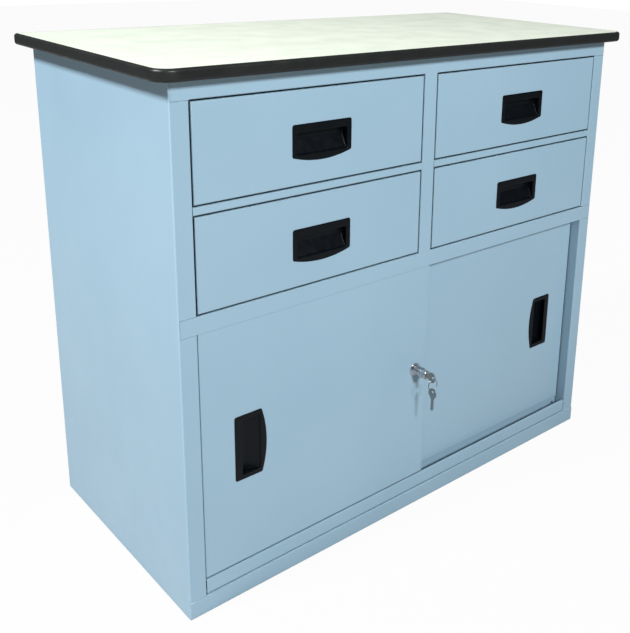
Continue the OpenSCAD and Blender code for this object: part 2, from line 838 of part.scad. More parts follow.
module left_door_roller_b() {
    roller(front_door_x1 - roller_inset, front_door_y);
}

module left_door_axles() {
    door_axles(front_door_x0, front_door_x1, front_door_y);
}

module right_door_roller_a() {
    roller(rear_door_x0 + roller_inset, rear_door_y);
}

module right_door_roller_b() {
    roller(rear_door_x1 - roller_inset, rear_door_y);
}

module right_door_axles() {
    door_axles(rear_door_x0, rear_door_x1, rear_door_y);
}

// Barrel of the push lock, with a collar on the door's face
module lock_body() {
    color(chrome) place() difference() {
        union() {
            rod_y([lock_x, barrel_y0, lock_z], barrel_r, barrel_y1 - barrel_y0);
            rod_y([lock_x, front_door_y - collar_t, lock_z], collar_r, collar_t);
        }
        rod_y([lock_x, barrel_y0 - 1, lock_z], plunger_r + lock_play, barrel_y1 - barrel_wall - barrel_y0 + 1);
        rod_y([lock_x, barrel_y0, lock_z], pin_r + lock_play, barrel_y1 - barrel_y0 + 1, 48);
    }
}

module lock_nut() {
    y0 = front_door_y + door_sheet;
    color(zinc) place() difference() {
        rod_y([lock_x, y0, lock_z], nut_d / 2, nut_t, 6);
        rod_y([lock_x, y0 - 1, lock_z], barrel_r, nut_t + 2);
    }
}

module lock_plunger() {
    color(chrome) place() difference() {
        union() {
            rod_y([lock_x, plunger_y0, lock_z], plunger_r, plunger_y1 - plunger_y0);
            rod_y([lock_x, plunger_y1, lock_z], pin_r, pin_y1 - plunger_y1, 48);
        }
        rod_y([lock_x, plunger_y0 - 1, lock_z], plug_r + lock_play, plug_len + 1);
    }
}

module lock_plug() {
    slot_w = key_t + 2 * keyway_play;
    slot_h = key_blade_w + 2 * keyway_play;
    color(chrome) place() difference() {
        rod_y([lock_x, plunger_y0, lock_z], plug_r, plug_len);
        block([lock_x - slot_w / 2, plunger_y0 - 1, lock_z - slot_h / 2],
              [lock_x + slot_w / 2, plunger_y0 + key_blade_len + keyway_play, lock_z + slot_h / 2]);
    }
}

// Return spring around the locking pin, between the plunger and the barrel's end wall
module lock_spring() {
    y0 = plunger_y1 + spring_wire_r + 0.1;
    y1 = barrel_y1 - barrel_wall - spring_wire_r - 0.1;
    last = spring_turns * spring_steps;
    points = [
        for (i = [0 : last], j = [0 : spring_sides - 1])
            let (a = 360 * i / spring_steps, b = 360 * j / spring_sides, r = spring_r + spring_wire_r * cos(b))
            [r * cos(a), y0 + (y1 - y0) * i / last + spring_wire_r * sin(b), r * sin(a)]
    ];
    function at(i, j) = i * spring_sides + j % spring_sides;
    skin = [
        for (i = [0 : last - 1], j = [0 : spring_sides - 1], half = [0, 1])
            half == 0 ? [at(i, j), at(i + 1, j + 1), at(i, j + 1)] : [at(i, j), at(i + 1, j), at(i + 1, j + 1)]
    ];
    caps = [[for (j = [0 : spring_sides - 1]) at(0, j)], [for (j = [spring_sides - 1 : -1 : 0]) at(last, j)]];
    color(zinc) place() translate([lock_x, 0, lock_z]) polyhedron(points = points, faces = concat(skin, caps));
}

// A key with its blade towards +Y, its shoulder at the local origin and its flat faces across X
module key_shape() {
    tooth = 1.6;
    pitch = 4;
    difference() {
        union() {
            block([-key_t / 2, 0, -key_blade_w / 2], [key_t / 2, key_blade_len, key_blade_w / 2]);
            block([-key_t / 2, -key_neck - 3, -key_blade_w / 2 - 1], [key_t / 2, -0.5, key_blade_w / 2 + 1]);
            block([-key_t / 2, -0.5, -key_blade_w / 2], [key_t / 2, 0, key_blade_w / 2]);
            translate([-key_t / 2, bow_y - plunger_y0, 0]) rotate([0, 90, 0]) cylinder(r = bow_r, h = key_t, $fn = 64);
        }
        translate([-key_t, bow_hole_y - plunger_y0, 0]) rotate([0, 90, 0])
            cylinder(r = bow_hole_r, h = 2 * key_t, $fn = 48);
        for (i = [1 : floor((key_blade_len - 2) / pitch)])
            translate([0, i * pitch, -key_blade_w / 2]) rotate([45, 0, 0]) cube([2 * key_t, tooth, tooth], center = true);
    }
}

module key() {
    color(chrome) place() translate([lock_x, plunger_y0, lock_z]) key_shape();
}

module key_ring() {
    color(chrome) place() translate([lock_x, bow_hole_y, ring_top_z - ring_r]) rotate([90, 0, 0])
        rotate_extrude($fn = 64) translate([ring_r, 0]) circle(r = ring_wire_r, $fn = 24);
}

// The spare key hangs blade down from the foot of the ring
module spare_key() {
    color(chrome) place() translate([lock_x, bow_hole_y, spare_hole_z]) rotate([-90, 0, 0])
        translate([0, plunger_y0 - bow_hole_y, 0]) key_shape();
}

left_side_panel();
right_side_panel();
back_panel();
bottom_panel();
plinth();
bottom_track();
top_track();
top_rail();
mid_rail();
centre_mullion();
drawer_rails();
centre_partition();
rear_posts();
dust_panel();
shelf();
shelf_clips();
worktop_board();
worktop_laminate();
worktop_edge();
worktop_screws();
fixed_slides();
drawer_front(0, 0);  // upper_left_front
drawer_tray(0, 0);  // upper_left_tray
drawer_handle(0, 0);  // upper_left_handle
slide_inner(0, 0);  // upper_left_slide_inner
slide_middle(0, 0);  // upper_left_slide_middle
drawer_front(0, 1);  // lower_left_front
drawer_tray(0, 1);  // lower_left_tray
drawer_handle(0, 1);  // lower_left_handle
slide_inner(0, 1);  // lower_left_slide_inner
slide_middle(0, 1);  // lower_left_slide_middle
drawer_front(1, 0);  // upper_right_front
drawer_tray(1, 0);  // upper_right_tray
drawer_handle(1, 0);  // upper_right_handle
slide_inner(1, 0);  // upper_right_slide_inner
slide_middle(1, 0);  // upper_right_slide_middle
drawer_front(1, 1);  // lower_right_front
drawer_tray(1, 1);  // lower_right_tray
drawer_handle(1, 1);  // lower_right_handle
slide_inner(1, 1);  // lower_right_slide_inner
slide_middle(1, 1);  // lower_right_slide_middle
left_door_panel();
left_door_handle();
left_door_roller_a();
left_door_roller_b();
left_door_axles();
right_door_panel();
right_door_handle();
right_door_roller_a();
right_door_roller_b();
right_door_axles();
lock_body();
lock_nut();
lock_plunger();
lock_plug();
lock_spring();
key();
key_ring();
spare_key();
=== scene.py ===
import json
from math import cos, pi, radians, sin

import bpy
from mathutils import Matrix, Vector


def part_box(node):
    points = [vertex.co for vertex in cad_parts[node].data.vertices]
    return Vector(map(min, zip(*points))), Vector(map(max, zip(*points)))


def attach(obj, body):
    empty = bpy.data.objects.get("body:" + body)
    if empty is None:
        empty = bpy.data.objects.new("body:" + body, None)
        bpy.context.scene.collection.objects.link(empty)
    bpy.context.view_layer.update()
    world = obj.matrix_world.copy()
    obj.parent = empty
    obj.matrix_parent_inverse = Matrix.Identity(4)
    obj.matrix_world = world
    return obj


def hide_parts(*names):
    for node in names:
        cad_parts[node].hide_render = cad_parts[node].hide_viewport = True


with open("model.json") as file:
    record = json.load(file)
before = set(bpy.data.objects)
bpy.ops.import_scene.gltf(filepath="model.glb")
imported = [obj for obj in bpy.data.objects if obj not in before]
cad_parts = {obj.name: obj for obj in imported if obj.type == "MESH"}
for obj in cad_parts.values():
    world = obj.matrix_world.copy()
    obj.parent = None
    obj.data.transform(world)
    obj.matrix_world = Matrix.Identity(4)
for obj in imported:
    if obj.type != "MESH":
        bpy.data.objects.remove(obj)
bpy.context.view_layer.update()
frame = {"nodes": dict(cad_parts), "record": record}

# Lockable medicine cabinet. Metres, +Z up, front towards -Y.

MM = 0.001
nodes = frame["nodes"]
scene = bpy.context.scene

# Colours, linear
POWDER_BLUE = (0.250, 0.384, 0.480, 1)
# Paler blue: a random cloudy tone, and also the painted highlight along the folds
POWDER_BLUE_PALE_AND_HIGHLIGHT = (0.42, 0.56, 0.66, 1)
# Painted shade for the gaps between parts
PAINTED_GAP_SHADE = (0.010, 0.016, 0.022, 1)
LAMINATE = (0.68, 0.74, 0.64, 1)
LAMINATE_FLECK = (0.64, 0.71, 0.60, 1)
EDGE_BLACK = (0.012, 0.013, 0.013, 1)
HANDLE_BLACK = (0.0012, 0.0025, 0.0040, 1)
BOARD = (0.50, 0.36, 0.22, 1)
BOARD_DARK_CHIP = (0.32, 0.21, 0.12, 1)
ZINC = (0.62, 0.64, 0.67, 1)
ZINC_SPANGLE = (0.74, 0.75, 0.77, 1)
CHROME = (0.62, 0.63, 0.64, 1)
# Painted shade for the grooves of the chrome lock
PAINTED_GROOVE_SHADE = (0.02, 0.02, 0.024, 1)
NICKEL = (0.36, 0.36, 0.35, 1)
NICKEL_MARKS = (0.20, 0.20, 0.19, 1)
NYLON = (0.78, 0.77, 0.72, 1)


# Materials

class Finish:
    """A node material with one Principled shader, and short calls for its detail."""

    def __init__(self, name, colour, roughness, metallic=0.0, specular=0.5):
        self.material = bpy.data.materials.new(name)
        self.material.use_nodes = True
        self.tree = self.material.node_tree
        self.shader = self.tree.nodes["Principled BSDF"]
        self.shader.inputs["Base Color"].default_value = colour
        self.shader.inputs["Roughness"].default_value = roughness
        self.shader.inputs["Metallic"].default_value = metallic
        self.shader.inputs["Specular IOR Level"].default_value = specular
        self.coordinates = self.add("ShaderNodeTexCoord").outputs["Object"]

    def add(self, kind, **values):
        node = self.tree.nodes.new(kind)
        for key, value in values.items():
            setattr(node, key, value)
        return node

    def link(self, output, target):
        self.tree.links.new(output, target)

    def stretched(self, scale):
        mapping = self.add("ShaderNodeMapping")
        mapping.inputs["Scale"].default_value = scale
        self.link(self.coordinates, mapping.inputs["Vector"])
        return mapping.outputs["Vector"]

    def noise(self, size, detail=2.0, stretch=None):
        """Noise whose blotches are about size metres across."""
        node = self.add("ShaderNodeTexNoise")
        node.inputs["Scale"].default_value = 1 / size
        node.inputs["Detail"].default_value = detail
        self.link(self.stretched(stretch) if stretch else self.coordinates, node.inputs["Vector"])
        return node.outputs["Fac"]

    def ranged(self, source, low, high, from_low=0.3, from_high=0.7):
        node = self.add("ShaderNodeMapRange")
        limits = {"From Min": from_low, "From Max": from_high, "To Min": low, "To Max": high}
        for name, value in limits.items():
            node.inputs[name].default_value = value
        self.link(source, node.inputs["Value"])
        return node.outputs["Result"]

    def mixed(self, factor, first, second):
        """Colour from first to second by factor; each is a colour or an output."""
        node = self.add("ShaderNodeMix", data_type="RGBA")
        self.link(factor, node.inputs["Factor"])
        for value, socket in ((first, node.inputs[6]), (second, node.inputs[7])):
            if isinstance(value, tuple):
                socket.default_value = value
            else:
                self.link(value, socket)
        return node.outputs[2]

    def edges(self, radius):
        """1 on sharp edges and 0 on flat faces, over the given radius."""
        rounded = self.add("ShaderNodeBevel", samples=4)
        rounded.inputs["Radius"].default_value = radius
        flat = self.add("ShaderNodeNewGeometry")
        dot = self.add("ShaderNodeVectorMath", operation="DOT_PRODUCT")
        self.link(rounded.outputs["Normal"], dot.inputs[0])
        self.link(flat.outputs["Normal"], dot.inputs[1])
        return self.ranged(dot.outputs["Value"], 1.0, 0.0, 0.75, 0.99)

    def openness(self, distance, alone=True):
        """1 in the open and 0 deep in a gap, over the given distance.
        alone leaves out the pieces around this one."""
        node = self.add("ShaderNodeAmbientOcclusion", samples=6, only_local=alone)
        node.inputs["Distance"].default_value = distance
        return node.outputs["AO"]

    def times(self, first, second):
        node = self.add("ShaderNodeMath", operation="MULTIPLY")
        self.link(first, node.inputs[0])
        if isinstance(second, (int, float)):
            node.inputs[1].default_value = second
        else:
            self.link(second, node.inputs[1])
        return node.outputs["Value"]

    def set(self, name, output):
        self.link(output, self.shader.inputs[name])

    def bump(self, height, distance, strength=1.0):
        node = self.add("ShaderNodeBump")
        node.inputs["Distance"].default_value = distance
        node.inputs["Strength"].default_value = strength
        self.link(height, node.inputs["Height"])
        self.link(node.outputs["Normal"], self.shader.inputs["Normal"])


def powder_coat():
    """Semi-gloss powder coat: orange peel, cloudy colour, a painted highlight along the folds, painted shade in
    the gaps.
    """
    f = Finish("powder_coat_blue", POWDER_BLUE, 0.34)
    cloudy = f.mixed(f.ranged(f.noise(0.25), 0.0, 0.10), POWDER_BLUE, POWDER_BLUE_PALE_AND_HIGHLIGHT)
    # Painted highlight: paler colour along sharp edges and folds, where light catches the rounded bends
    fold_highlight = f.times(f.edges(1.6 * MM), f.ranged(f.noise(0.03), 0.25, 0.55))
    # Painted shade: colour goes dark in gaps and deep corners, where shade falls
    gap_shade = f.ranged(f.openness(12 * MM, alone=False), 1.0, 0.0, 0.08, 0.42)
    f.set("Base Color", f.mixed(gap_shade, f.mixed(fold_highlight, cloudy, POWDER_BLUE_PALE_AND_HIGHLIGHT), PAINTED_GAP_SHADE))
    f.set("Roughness", f.ranged(f.noise(0.05, 3.0), 0.30, 0.40))
    f.bump(f.noise(2.2 * MM, 1.0), 0.02 * MM, 0.6)
    return f.material


def laminate():
    f = Finish("laminate_cream", LAMINATE, 0.32)
    f.set("Base Color", f.mixed(f.ranged(f.noise(6 * MM, 4.0), 0.0, 0.6), LAMINATE, LAMINATE_FLECK))
    f.set("Roughness", f.ranged(f.noise(0.06, 3.0), 0.28, 0.38))
    f.bump(f.noise(0.9 * MM, 2.0), 0.01 * MM, 0.5)
    return f.material


def moulded_edge():
    f = Finish("edge_black", EDGE_BLACK, 0.38, specular=0.3)
    f.set("Roughness", f.ranged(f.noise(0.02, 4.0), 0.30, 0.46))
    f.bump(f.noise(0.7 * MM, 3.0), 0.02 * MM, 0.6)
    return f.material


def board():
    """Raw particle board: pale and dark chips."""
    f = Finish("particle_board", BOARD, 0.85)
    chips = f.add("ShaderNodeTexVoronoi")
    chips.inputs["Scale"].default_value = 1 / (3 * MM)
    f.link(f.stretched((1, 1, 3)), chips.inputs["Vector"])
    shade = f.ranged(chips.outputs["Color"], 0.0, 1.0, 0.1, 0.9)
    f.set("Base Color", f.mixed(shade, BOARD, BOARD_DARK_CHIP))
    f.bump(chips.outputs["Distance"], 0.15 * MM, 0.5)
    return f.material


def handle_plastic():
    f = Finish("handle_black", HANDLE_BLACK, 0.36, specular=0.12)
    # Painted shade: the shine is turned down deep in the pocket, under the grip
    f.set("Specular IOR Level", f.ranged(f.openness(14 * MM), 0.0, 0.17, 0.40, 0.85))
    f.set("Roughness", f.ranged(f.noise(0.012, 3.0), 0.28, 0.44))
    f.bump(f.noise(0.6 * MM, 2.0), 0.02 * MM, 0.7)
    return f.material


def zinc_plate():
    """Bright zinc, rolled along Y, with soft spangle."""
    f = Finish("zinc_plate", ZINC, 0.34, metallic=1.0)
    f.set("Base Color", f.mixed(f.ranged(f.noise(0.02, 3.0), 0.0, 0.5), ZINC, ZINC_SPANGLE))
    f.set("Roughness", f.ranged(f.noise(1.2 * MM, 3.0, (1, 0.05, 1)), 0.24, 0.44))
    f.bump(f.noise(1.0 * MM, 2.0, (1, 0.05, 1)), 0.01 * MM, 0.5)
    return f.material


def chrome_plate():
    f = Finish("chrome_plate", CHROME, 0.12, metallic=1.0)
    # Painted shade: base colour goes dark in the grooves and hollows
    f.set("Base Color", f.mixed(f.ranged(f.openness(2.5 * MM), 0.0, 1.0, 0.55, 0.95), PAINTED_GROOVE_SHADE, CHROME))
    f.set("Roughness", f.ranged(f.noise(1.5 * MM, 4.0), 0.07, 0.22))
    f.bump(f.noise(0.8 * MM, 2.0), 0.004 * MM, 0.5)
    return f.material


def nickel_keys():
    """Nickel-plated blank with fine scratches along it and duller, darker handling marks."""
    f = Finish("nickel_keys", NICKEL, 0.30, metallic=1.0)
    f.set("Base Color", f.mixed(f.ranged(f.noise(2.5 * MM, 3.0), 0.0, 0.5), NICKEL, NICKEL_MARKS))
    f.set("Roughness", f.ranged(f.noise(0.5 * MM, 4.0), 0.20, 0.42))
    f.bump(f.noise(0.4 * MM, 3.0), 0.006 * MM, 0.6)
    return f.material


def nylon():
    f = Finish("nylon_natural", NYLON, 0.45)
    f.shader.inputs["Subsurface Weight"].default_value = 0.1
    f.set("Roughness", f.ranged(f.noise(3 * MM, 3.0), 0.38, 0.55))
    f.bump(f.noise(0.8 * MM, 2.0), 0.01 * MM, 0.5)
    return f.material


FINISHES = {
    "powder_coat": powder_coat(),
    "laminate": laminate(),
    "edge_black": moulded_edge(),
    "board": board(),
    "handle_black": handle_plastic(),
    "zinc_steel": zinc_plate(),
    "chrome": chrome_plate(),
    "key_steel": nickel_keys(),
    "nylon": nylon(),
}


# CAD nodes: their finish, and the small rounding that sheet edges have

EDGE_ROUNDING = {"powder_coat": 0.4, "zinc_steel": 0.25, "board": 0.3, "chrome": 0.25, "key_steel": 0.15,
                 "nylon": 0.4, "laminate": 0.15, "edge_black": 0.1, "handle_black": 0.4}


def soften(piece, width):
    """Round a CAD node's sharp edges by width metres."""
    piece.modifiers.new("weld", "WELD").merge_threshold = 0.001 * MM
    bevel = piece.modifiers.new("bevel", "BEVEL")
    bevel.width = width
    bevel.segments = 2
    bevel.limit_method = "ANGLE"
    bevel.angle_limit = radians(40)
    piece.modifiers.new("normals", "WEIGHTED_NORMAL").keep_sharp = False


for part in frame["record"]["subparts"]:
    node = nodes[part["node"]]
    node.data.materials.clear()
    node.data.materials.append(FINISHES[part["material_slot"]])
    soften(node, EDGE_ROUNDING[part["material_slot"]] * MM)


# Building new pieces

def new_piece(name, vertices, faces, slot, body, *replaced):
    mesh = bpy.data.meshes.new(name)
    mesh.from_pydata(vertices, [], faces)
    mesh.validate()
    mesh.shade_smooth()
    piece = bpy.data.objects.new(name, mesh)
    scene.collection.objects.link(piece)
    piece.data.materials.append(FINISHES[slot])
    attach(piece, body)
    if replaced:
        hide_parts(*replaced)
    return piece


def bridge(rings, count):
    """Faces between neighbouring closed rings of count points each, numbered one after the other."""
    faces = []
    for ring in range(rings - 1):
        first = ring * count
        far = first + count
        for i in range(count):
            after = (i + 1) % count
            faces.append((first + i, first + after, far + after, far + i))
    return faces


LATHE_SIDES = 72


def lathe(name, profile, centre, slot, body, *replaced):
    """A ring turned about an axis along Y: profile is a closed loop of (radius, y) in millimetres."""
    sides = LATHE_SIDES
    x, middle, z = centre
    points = []
    for r, y in profile:
        for i in range(sides):
            angle = 2 * pi * i / sides
            points.append((x + r * MM * cos(angle), middle + y * MM, z + r * MM * sin(angle)))
    faces = bridge(len(profile), sides)
    last = (len(profile) - 1) * sides
    faces += [(last + i, last + (i + 1) % sides, (i + 1) % sides, i) for i in range(sides)]
    piece = new_piece(name, points, faces, slot, body, *replaced)
    piece.modifiers.new("normals", "WEIGHTED_NORMAL").keep_sharp = False
    return piece


# Recessed pull handles

# Sizes in millimetres; depths are counted from the sheet's front face, and heights from the handle's middle
PULL_RIM = 1.6
PULL_EDGE = 1.3
PULL_CORNER = 4
PULL_POCKET = 13
PULL_WALL = 1.6
PULL_WALL_CORNER = 1.5
PULL_BORDER = 9
PULL_GRIP = 9
PULL_BULGE = 8
PULL_DEEP = 11.2
PULL_SHALLOW = 1.2
PULL_CREASE = -0.5
PULL_FOOT = -21
BEHIND_SHEET = 0.02
CORNER_STEPS = 6
LONG_STEPS = 28
END_STEPS = 22


def pull_ring(x, low, high, radius, bulge, depth):
    """Closed outline of a handle from its lower left corner: half width x, low and high sides, a bulge below.
    depth is a number, or a function of the height, that says how far behind the sheet each point lies."""
    inner = x - radius
    ring = []
    for i in range(LONG_STEPS):
        u = -inner + 2 * inner * i / LONG_STEPS
        ring.append((u, low - bulge * (1 - (u / inner) ** 2)))
    bottom, top = low + radius, high - radius
    corners = ((inner, bottom, -90), (inner, top, 0), (-inner, top, 90), (-inner, bottom, 180))
    for corner, (u, v, start) in enumerate(corners):
        for i in range(CORNER_STEPS):
            angle = radians(start + 90 * i / CORNER_STEPS)
            ring.append((u + radius * cos(angle), v + radius * sin(angle)))
        if corner == 1:
            ring += [(inner - 2 * inner * i / LONG_STEPS, high) for i in range(LONG_STEPS)]
        elif corner < 3:
            side = x if corner == 0 else -x
            begin, end = (bottom, top) if corner == 0 else (top, bottom)
            ring += [(side, begin + (end - begin) * i / END_STEPS) for i in range(END_STEPS)]
    return [(u, v, depth(v) if callable(depth) else depth) for u, v in ring]


def smooth_step(t):
    t = min(1.0, max(0.0, t))
    return t * t * (3 - 2 * t)


def pull_floor(v):
    """Depth of the pocket's floor: deep under the grip, then a ramp from a crease up to the lower side."""
    ramp = min(1.0, max(0.0, (PULL_CREASE - v) / (PULL_CREASE - PULL_FOOT)))
    return PULL_DEEP - (PULL_DEEP - PULL_SHALLOW) * ramp


def floor_edge(v):
    """Depth of the ring just above the floor, for the rounded corner between wall and floor."""
    return max(0.6, pull_floor(v) - 0.7)


def pull_mesh(length, width):
    """Vertices (along, up, behind the sheet) and faces of a handle, in millimetres."""
    x = length / 2
    high = width / 2
    low = -high
    pocket_x = x - PULL_BORDER
    pocket_high = high - PULL_BORDER / 2
    pocket_low = -pocket_high
    rings = []
    for inset, depth in ((0.5, PULL_POCKET), (0, PULL_POCKET - 0.5), (0, BEHIND_SHEET)):
        wall = PULL_WALL - inset
        sides = (pocket_x + wall, pocket_low - wall, pocket_high + wall)
        rings.append(pull_ring(*sides, PULL_WALL_CORNER, 0, depth))
    rings.append(pull_ring(x, low, high, PULL_CORNER, PULL_BULGE, BEHIND_SHEET))
    for step in range(1, 5):
        angle = radians(90 * step / 4)
        inset = PULL_EDGE * (1 - cos(angle))
        sides = (x - inset, low + inset, high - inset)
        rings.append(pull_ring(*sides, PULL_CORNER - inset, PULL_BULGE, -PULL_RIM * sin(angle) * 0.85))
    grip_high = pocket_high - PULL_GRIP
    rings.append(pull_ring(x - 3.2, low + 3.2, high - 3.2, 2.6, PULL_BULGE, -PULL_RIM * 0.86))
    rings.append(pull_ring(pocket_x + 1.2, pocket_low - 1.2, grip_high + 1.2, 2.6, 0.5, -PULL_RIM))
    for inset, depth in ((0.55, -PULL_RIM + 0.15), (0.15, -PULL_RIM + 0.5), (0, -0.7)):
        rings.append(pull_ring(pocket_x + inset, pocket_low - inset, grip_high + inset, 2.4, 0, depth))
    floor_x = pocket_x - 1.2
    floor_low = pocket_low + 1.2
    under = pocket_high - 0.3
    rings += [
        pull_ring(pocket_x, pocket_low, grip_high + 0.3, 2.4, 0, -0.25),
        pull_ring(pocket_x - 0.2, pocket_low + 0.3, grip_high + 1.2, 2.4, 0, 0),
        pull_ring(pocket_x - 0.3, pocket_low + 0.6, under, 2.0, 0, 0.3),
        pull_ring(floor_x + 0.3, floor_low - 0.3, under - 0.4, 1.6, 0, floor_edge),
        pull_ring(floor_x, floor_low, under - 0.8, 1.4, 0, pull_floor),
    ]
    points = [p for ring in rings for p in ring]
    count = len(rings[0])
    faces = bridge(len(rings), count)
    faces.append(tuple(reversed(range(count))))
    add_floor(points, faces, (len(rings) - 1) * count, count)
    return points, faces


def add_floor(points, faces, first, count):
    """Rows of faces over the last ring, from its lower to its upper long side."""
    right = [first + LONG_STEPS + i for i in range(2 * CORNER_STEPS + END_STEPS + 1)]
    left = [first] + [first + count - 1 - i for i in range(2 * CORNER_STEPS + END_STEPS)]
    upper = [first + LONG_STEPS + 2 * CORNER_STEPS + END_STEPS + i for i in range(LONG_STEPS + 1)]
    rows = [[first + i for i in range(LONG_STEPS + 1)]]
    for a, b in zip(left[1:-1], right[1:-1]):
        row = [a]
        for i in range(1, LONG_STEPS):
            t = i / LONG_STEPS
            u, v = (points[a][k] + (points[b][k] - points[a][k]) * t for k in (0, 1))
            points.append((u, v, pull_floor(v)))
            row.append(len(points) - 1)
        rows.append(row + [b])
    rows.append(list(reversed(upper)))
    for low, high in zip(rows, rows[1:]):
        faces += [(low[i], low[i + 1], high[i + 1], high[i]) for i in range(LONG_STEPS)]


def pull(node, body, side):
    """Handle in place of a CAD one: side is 0 on a drawer, -1 on the left door and 1 on the right door."""
    low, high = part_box(node)
    plane = low.y + PULL_RIM * MM
    if side == 0:
        length, width = high.x - low.x, high.z - low.z - PULL_BULGE * MM
        centre = Vector(((low.x + high.x) / 2, plane, high.z - width / 2))
        along, up = Vector((1, 0, 0)), Vector((0, 0, 1))
    else:
        length, width = high.z - low.z, high.x - low.x - PULL_BULGE * MM
        edge = low.x if side < 0 else high.x
        centre = Vector((edge - side * width / 2, plane, (low.z + high.z) / 2))
        along, up = Vector((0, 0, -side)), Vector((side, 0, 0))
    points, faces = pull_mesh(length / MM, width / MM)
    placed = [centre + along * (u * MM) + up * (v * MM) + Vector((0, w * MM, 0)) for u, v, w in points]
    piece = new_piece(node + "_moulded", placed, faces, "handle_black", body, node)
    piece.modifiers.new("normals", "WEIGHTED_NORMAL").keep_sharp = False


for row in ("upper", "lower"):
    for side in ("left", "right"):
        pull(f"{row}_{side}_handle", f"{row}_{side}_drawer", 0)
pull("left_door_handle", "left_door", -1)
pull("right_door_handle", "right_door", 1)


# Push lock, in millimetres

BARREL_RADIUS = 9.4
BARREL_BORE = 8.27
BARREL_WALL = 1.5
BARREL_PIN_HOLE = 4.05
THREAD_TURNS = 6
THREAD_PITCH = 1.6
PLUNGER_RADIUS = 8.2
PLUNGER_BORE = 6.04
PLUNGER_PIN = 4.0
PLUNGER_ROOM = 12.2


def groove(r, y, width, depth):
    """Profile points of a round groove that starts at y and goes towards lower y."""
    return [(r, y), (r - depth, y - width * 0.3), (r - depth, y - width * 0.7), (r, y - width)]


def lock_barrel():
    low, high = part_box("lock_body")
    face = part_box("left_door_panel")[0].y
    centre = ((low.x + high.x) / 2, face, (low.z + high.z) / 2)
    front = (low.y - face) / MM
    back = (high.y - face) / MM
    outer, bore, pin = BARREL_RADIUS, BARREL_BORE, BARREL_PIN_HOLE
    profile = [(pin, back), (outer - 0.6, back), (outer, back - 0.6)]
    for i in range(THREAD_TURNS):
        profile += groove(outer, back - 1.5 - i * THREAD_PITCH, 0.9, 0.45)
    profile += [(outer, 0.0), (11.6, 0.0), (12, -0.4), (12, -1.7), (11.7, -2.3), (11.1, -2.5)]
    profile.append((outer + 0.2, -2.6))
    profile += [(outer - 1.0, -3.2), (outer - 1.0, -5.2), (outer, -5.8)]
    profile += groove(outer, -8.4, 2.4, 1.0) + groove(outer, -12.6, 2.4, 1.0)
    profile += [(outer, -16.5), (outer - 0.9, -17.0), (outer - 0.9, -18.6), (outer, -19.1)]
    profile += [(outer, front + 0.8), (outer - 0.25, front + 0.2), (outer - 0.6, front), (bore + 0.1, front)]
    profile += [(bore, front + 0.3), (bore, back - BARREL_WALL), (pin, back - BARREL_WALL)]
    lathe("lock_barrel", profile, centre, "chrome", "left_door", "lock_body")


def plunger_sleeve():
    low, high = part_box("lock_plunger")
    centre = ((low.x + high.x) / 2, low.y, (low.z + high.z) / 2)
    end = (high.y - low.y) / MM
    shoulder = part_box("lock_body")[1].y / MM - low.y / MM - BARREL_WALL - PLUNGER_ROOM
    outer, bore, pin = PLUNGER_RADIUS, PLUNGER_BORE, PLUNGER_PIN
    profile = [(0.3, 26.0), (bore, 26.0), (bore, 0.3), (bore + 0.3, 0.0)]
    profile += [(outer - 1.1, 0.0), (outer - 0.4, 0.3), (outer, 1.0)]
    for start in (4.2, 7.4):
        profile += reversed(groove(outer, start, 1.2, 0.5))
    profile += [(outer, shoulder), (pin, shoulder), (pin, end - 0.8), (pin - 0.8, end), (0.3, end)]
    lathe("lock_plunger_sleeve", profile, centre, "chrome", "plunger", "lock_plunger")


lock_barrel()
plunger_sleeve()


# Keys and their split ring, in millimetres

HOLE_SIDES = 32


def plate(name, outline, hole, thickness, rounding):
    """Flat plate with rounded edges, from a closed outline of (across, along) points.
    hole is a round hole's middle, across and along, and its radius."""
    curve = bpy.data.curves.new(name, "CURVE")
    curve.dimensions = "2D"
    curve.fill_mode = "BOTH"
    curve.extrude = (thickness / 2 - rounding) * MM
    curve.bevel_depth = rounding * MM
    curve.bevel_resolution = 2
    curve.offset = -rounding * MM
    across, along, radius = hole
    round_hole = []
    for i in range(HOLE_SIDES):
        angle = 2 * pi * i / HOLE_SIDES
        round_hole.append((across + radius * cos(angle), along + radius * sin(angle)))
    for loop in (outline, round_hole):
        spline = curve.splines.new("POLY")
        spline.points.add(len(loop) - 1)
        for point, (u, v) in zip(spline.points, loop):
            point.co = (u * MM, v * MM, 0, 1)
        spline.use_cyclic_u = True
    holder = bpy.data.objects.new(name, curve)
    scene.collection.objects.link(holder)
    mesh = bpy.data.meshes.new_from_object(holder.evaluated_get(bpy.context.evaluated_depsgraph_get()))
    bpy.data.objects.remove(holder)
    return mesh


def arc(u, v, r, start, end, steps):
    """Points on a round from one angle to another, in degrees."""
    points = []
    for i in range(steps + 1):
        angle = radians(start + (end - start) * i / steps)
        points.append((u + r * cos(angle), v + r * sin(angle)))
    return points


KEY_BLADE = 24
KEY_HALF_WIDTH = 3.75
KEY_HOLE = 3.5
KEY_HOLE_MARGIN = 2.5
KEY_EDGE = 0.3
KEY_CUTS = (1.4, 2.0, 0.9, 1.8, 1.2)


def key_outline(bow_y, bow_r):
    """Key with its shoulder at the origin, its blade towards +v and its bow towards -v."""
    tip = KEY_BLADE
    half_blade = KEY_HALF_WIDTH
    pitch = (tip - 6) / len(KEY_CUTS)
    cuts = [(half_blade - 0.2, tip - 3.2)]
    for i, depth in enumerate(KEY_CUTS):
        v = tip - 4 - i * pitch
        cuts += [(half_blade, v), (half_blade - depth, v - pitch * 0.3), (half_blade - depth, v - pitch * 0.55)]
    neck = half_blade + 1
    outline = [(-half_blade, 0), (-half_blade, tip - 3), (-1.0, tip), (1.0, tip)] + cuts
    outline += [(half_blade, 0), (neck, -0.6), (neck, -3.0)]
    outline += arc(0, bow_y, bow_r, 60, -240, 40)
    outline += [(-neck, -3.0), (-neck, -0.6)]
    return outline


